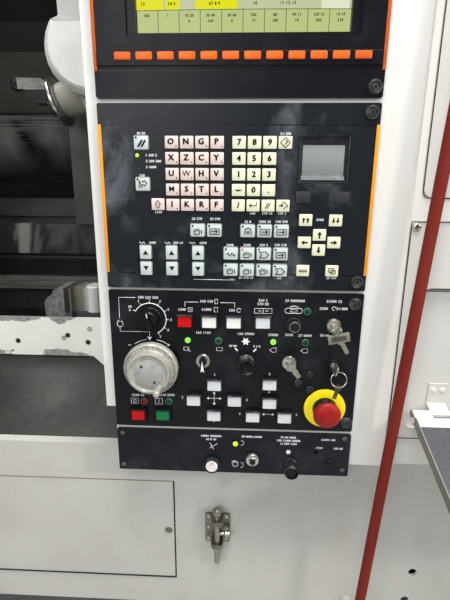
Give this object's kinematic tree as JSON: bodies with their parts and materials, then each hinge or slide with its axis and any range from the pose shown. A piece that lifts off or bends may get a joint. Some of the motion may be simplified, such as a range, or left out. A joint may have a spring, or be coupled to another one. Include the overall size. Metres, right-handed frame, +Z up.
{
  "type": "cnc turning lathe",
  "caption": "Enclosed turning machine with a sliding door, chuck, upper milling head, lower turret and a front console with screen, keys, knobs, handwheel and stop button.",
  "frame": {"origin": "centre of the machine's footprint, on the floor", "axes": "+X to the operator's right along the machine, +Y away from the operator, +Z up"},
  "size_m": [2.9, 1.7278, 2.35],
  "materials": {
    "cabinet_paint": "satin off-white powder coat",
    "casting_paint": "grey machine enamel",
    "dark_panel": "blue-black panel film",
    "black_plastic": "matt black",
    "cream_paint": "chipped cream enamel",
    "dark_steel": "dull, oil stained",
    "bright_steel": "bright turned steel",
    "worn_aluminium": "worn by hands",
    "screen_glass": "lit screen",
    "window_glass": "clear",
    "key_white": "satin off-white",
    "signal_red": "gloss red",
    "signal_green": "gloss green",
    "hose_rubber": "dark red, matt",
    "mat_rubber": "matt grey"
  },
  "bodies": {
    "machine": {"bed": "casting_paint", "lower_cover": "cabinet_paint", "coolant_tank": "casting_paint", "headstock": "casting_paint", "left_cover": "cabinet_paint", "enclosure": "cabinet_paint", "pillar": "cabinet_paint", "upper_right_cover": "cabinet_paint", "right_cover": "cabinet_paint", "way_cover": "dark_steel", "apron": "dark_steel", "lower_turret_cover": "cream_paint", "latch_plate": "bright_steel", "display_unit": "dark_panel", "display_screen": "screen_glass", "keyboard_unit": "dark_panel", "operation_panel": "dark_panel", "auxiliary_panel": "dark_panel", "air_hose": "hose_rubber"},
    "sliding_door": {"sliding_door": "cabinet_paint", "door_window": "window_glass"},
    "access_door": {"access_door": "cabinet_paint"},
    "latch_bolt": {"latch_bolt": "bright_steel"},
    "shelf": {"shelf": "mat_rubber"},
    "chuck": {"chuck": "bright_steel"},
    "chuck_jaw_1": {"chuck_jaw_1": "bright_steel"},
    "chuck_jaw_2": {"chuck_jaw_2": "bright_steel"},
    "chuck_jaw_3": {"chuck_jaw_3": "bright_steel"},
    "carriage": {"carriage": "casting_paint"},
    "ram": {"ram": "cabinet_paint"},
    "milling_head": {"milling_head": "casting_paint"},
    "milling_spindle": {"milling_spindle": "bright_steel"},
    "lower_turret": {"lower_turret": "dark_steel"},
    "estop_button": {"estop_button": "signal_red"},
    "handwheel": {"handwheel": "worn_aluminium"},
    "handwheel_crank": {"handwheel_crank": "worn_aluminium"},
    "spindle_stop_button": {"spindle_stop_button": "signal_red"},
    "spindle_start_button": {"spindle_start_button": "key_white"},
    "spindle_reverse_button": {"spindle_reverse_button": "key_white"},
    "door_unlock_button": {"door_unlock_button": "key_white"},
    "feed_hold_button": {"feed_hold_button": "signal_red"},
    "cycle_start_button": {"cycle_start_button": "signal_green"},
    "jog_up_button": {"jog_up_button": "key_white"},
    "jog_left_button": {"jog_left_button": "key_white"},
    "jog_right_button": {"jog_right_button": "key_white"},
    "jog_down_button": {"jog_down_button": "key_white"},
    "traverse_up_button": {"traverse_up_button": "key_white"},
    "traverse_centre_button": {"traverse_centre_button": "key_white"},
    "traverse_left_button": {"traverse_left_button": "key_white"},
    "traverse_right_button": {"traverse_right_button": "key_white"},
    "single_operate_button": {"single_operate_button": "key_white"},
    "axis_select_knob": {"axis_select_knob": "black_plastic"},
    "chip_conveyor_switch": {"chip_conveyor_switch": "black_plastic"},
    "program_key": {"program_key": "bright_steel"},
    "head_select_knob": {"head_select_knob": "black_plastic"},
    "tool_select_knob": {"tool_select_knob": "black_plastic"},
    "tool_clamp_key": {"tool_clamp_key": "bright_steel"},
    "setup_key": {"setup_key": "bright_steel"},
    "turret_select_key": {"turret_select_key": "bright_steel"},
    "flash_tool_knob": {"flash_tool_knob": "black_plastic"}
  },
  "joints": [
    {"name": "door_slide", "type": "slide", "parent": "machine", "child": "sliding_door", "axis": [1, 0, 0], "range_m": [0, 0.9154]},
    {"name": "access_door_hinge", "type": "hinge", "parent": "machine", "child": "access_door", "pos_m": [-0.044, -0.63822, 0.765], "axis": [0, 0, -1], "range_deg": [0, 110]},
    {"name": "latch_slide", "type": "slide", "parent": "machine", "child": "latch_bolt", "axis": [0, 0, 1], "range_m": [0, 0.017]},
    {"name": "shelf_hinge", "type": "hinge", "parent": "machine", "child": "shelf", "pos_m": [1.1825, -0.68712, 1.0385], "axis": [-1, 0, 0], "range_deg": [0, 108]},
    {"name": "chuck_spin", "type": "hinge", "parent": "machine", "child": "chuck", "pos_m": [-0.489, 0.03088, 1.15], "axis": [1, 0, 0], "continuous": true},
    {"name": "jaw_1_slide", "type": "slide", "parent": "chuck", "child": "chuck_jaw_1", "axis": [0, 0, 1], "range_m": [-0.006, 0.008]},
    {"name": "jaw_2_slide", "type": "slide", "parent": "chuck", "child": "chuck_jaw_2", "axis": [0, -0.866, -0.5], "range_m": [-0.006, 0.008]},
    {"name": "jaw_3_slide", "type": "slide", "parent": "chuck", "child": "chuck_jaw_3", "axis": [0, 0.866, -0.5], "range_m": [-0.006, 0.008]},
    {"name": "carriage_slide", "type": "slide", "parent": "machine", "child": "carriage", "axis": [1, 0, 0], "range_m": [-0.38, 0.55]},
    {"name": "ram_slide", "type": "slide", "parent": "carriage", "child": "ram", "axis": [0, 0, 1], "range_m": [-0.33, 0]},
    {"name": "head_swivel", "type": "hinge", "parent": "ram", "child": "milling_head", "pos_m": [0.3205, 0.03088, 1.712], "axis": [0, 1, 0], "range_deg": [-195, 30]},
    {"name": "milling_spindle_spin", "type": "hinge", "parent": "milling_head", "child": "milling_spindle", "pos_m": [0.19509, 0.03088, 1.60965], "axis": [-0.9478, 0, -0.319], "continuous": true},
    {"name": "lower_turret_slide", "type": "slide", "parent": "machine", "child": "lower_turret", "axis": [1, 0, 0], "range_m": [-0.62, 0.62]},
    {"name": "estop_press", "type": "slide", "parent": "machine", "child": "estop_button", "axis": [0, 1, 0], "range_m": [0, 0.004]},
    {"name": "handwheel_spin", "type": "hinge", "parent": "machine", "child": "handwheel", "pos_m": [0.5925, -0.69312, 1.1075], "axis": [0, -1, 0], "continuous": true},
    {"name": "crank_spin", "type": "hinge", "parent": "handwheel", "child": "handwheel_crank", "pos_m": [0.6082, -0.72112, 1.08741], "axis": [0, -1, 0], "continuous": true},
    {"name": "spindle_stop_press", "type": "slide", "parent": "machine", "child": "spindle_stop_button", "axis": [0, 1, 0], "range_m": [0, 0.003], "stiffness_N_per_m": 400},
    {"name": "spindle_start_press", "type": "slide", "parent": "machine", "child": "spindle_start_button", "axis": [0, 1, 0], "range_m": [0, 0.003], "stiffness_N_per_m": 400},
    {"name": "spindle_reverse_press", "type": "slide", "parent": "machine", "child": "spindle_reverse_button", "axis": [0, 1, 0], "range_m": [0, 0.003], "stiffness_N_per_m": 400},
    {"name": "door_unlock_press", "type": "slide", "parent": "machine", "child": "door_unlock_button", "axis": [0, 1, 0], "range_m": [0, 0.003], "stiffness_N_per_m": 400},
    {"name": "feed_hold_press", "type": "slide", "parent": "machine", "child": "feed_hold_button", "axis": [0, 1, 0], "range_m": [0, 0.003], "stiffness_N_per_m": 400},
    {"name": "cycle_start_press", "type": "slide", "parent": "machine", "child": "cycle_start_button", "axis": [0, 1, 0], "range_m": [0, 0.003], "stiffness_N_per_m": 400},
    {"name": "jog_up_press", "type": "slide", "parent": "machine", "child": "jog_up_button", "axis": [0, 1, 0], "range_m": [0, 0.003], "stiffness_N_per_m": 400},
    {"name": "jog_left_press", "type": "slide", "parent": "machine", "child": "jog_left_button", "axis": [0, 1, 0], "range_m": [0, 0.003], "stiffness_N_per_m": 400},
    {"name": "jog_right_press", "type": "slide", "parent": "machine", "child": "jog_right_button", "axis": [0, 1, 0], "range_m": [0, 0.003], "stiffness_N_per_m": 400},
    {"name": "jog_down_press", "type": "slide", "parent": "machine", "child": "jog_down_button", "axis": [0, 1, 0], "range_m": [0, 0.003], "stiffness_N_per_m": 400},
    {"name": "traverse_up_press", "type": "slide", "parent": "machine", "child": "traverse_up_button", "axis": [0, 1, 0], "range_m": [0, 0.003], "stiffness_N_per_m": 400},
    {"name": "traverse_centre_press", "type": "slide", "parent": "machine", "child": "traverse_centre_button", "axis": [0, 1, 0], "range_m": [0, 0.003], "stiffness_N_per_m": 400},
    {"name": "traverse_left_press", "type": "slide", "parent": "machine", "child": "traverse_left_button", "axis": [0, 1, 0], "range_m": [0, 0.003], "stiffness_N_per_m": 400},
    {"name": "traverse_right_press", "type": "slide", "parent": "machine", "child": "traverse_right_button", "axis": [0, 1, 0], "range_m": [0, 0.003], "stiffness_N_per_m": 400},
    {"name": "single_operate_press", "type": "slide", "parent": "machine", "child": "single_operate_button", "axis": [0, 1, 0], "range_m": [0, 0.003], "stiffness_N_per_m": 400},
    {"name": "axis_select_knob_turn", "type": "hinge", "parent": "machine", "child": "axis_select_knob", "pos_m": [0.5905, -0.68612, 1.18], "axis": [0, -1, 0], "range_deg": [-45, 90]},
    {"name": "chip_conveyor_switch_turn", "type": "hinge", "parent": "machine", "child": "chip_conveyor_switch", "pos_m": [0.7995, -0.68612, 1.1752], "axis": [0, -1, 0], "range_deg": [-45, 45]},
    {"name": "program_key_turn", "type": "hinge", "parent": "machine", "child": "program_key", "pos_m": [0.8558, -0.68612, 1.1756], "axis": [0, -1, 0], "range_deg": [-90, 0]},
    {"name": "head_select_knob_turn", "type": "hinge", "parent": "machine", "child": "head_select_knob", "pos_m": [0.6682, -0.68612, 1.116], "axis": [0, -1, 0], "range_deg": [-45, 45]},
    {"name": "tool_select_knob_turn", "type": "hinge", "parent": "machine", "child": "tool_select_knob", "pos_m": [0.732, -0.68612, 1.1147], "axis": [0, -1, 0], "range_deg": [-150, 150]},
    {"name": "tool_clamp_key_turn", "type": "hinge", "parent": "machine", "child": "tool_clamp_key", "pos_m": [0.7952, -0.68612, 1.1163], "axis": [0, -1, 0], "range_deg": [-90, 45]},
    {"name": "setup_key_turn", "type": "hinge", "parent": "machine", "child": "setup_key", "pos_m": [0.8597, -0.68612, 1.1149], "axis": [0, -1, 0], "range_deg": [0, 90]},
    {"name": "turret_select_key_turn", "type": "hinge", "parent": "machine", "child": "turret_select_key", "pos_m": [0.7452, -0.68612, 0.9523], "axis": [0, -1, 0], "range_deg": [-90, 0]},
    {"name": "flash_tool_knob_turn", "type": "hinge", "parent": "machine", "child": "flash_tool_knob", "pos_m": [0.805, -0.68612, 0.943], "axis": [0, -1, 0], "range_deg": [-150, 150]}
  ],
  "couplings": [
    {"joint": "jaw_2_slide", "follows": "jaw_1_slide", "ratio": 1},
    {"joint": "jaw_3_slide", "follows": "jaw_1_slide", "ratio": 1}
  ]
}
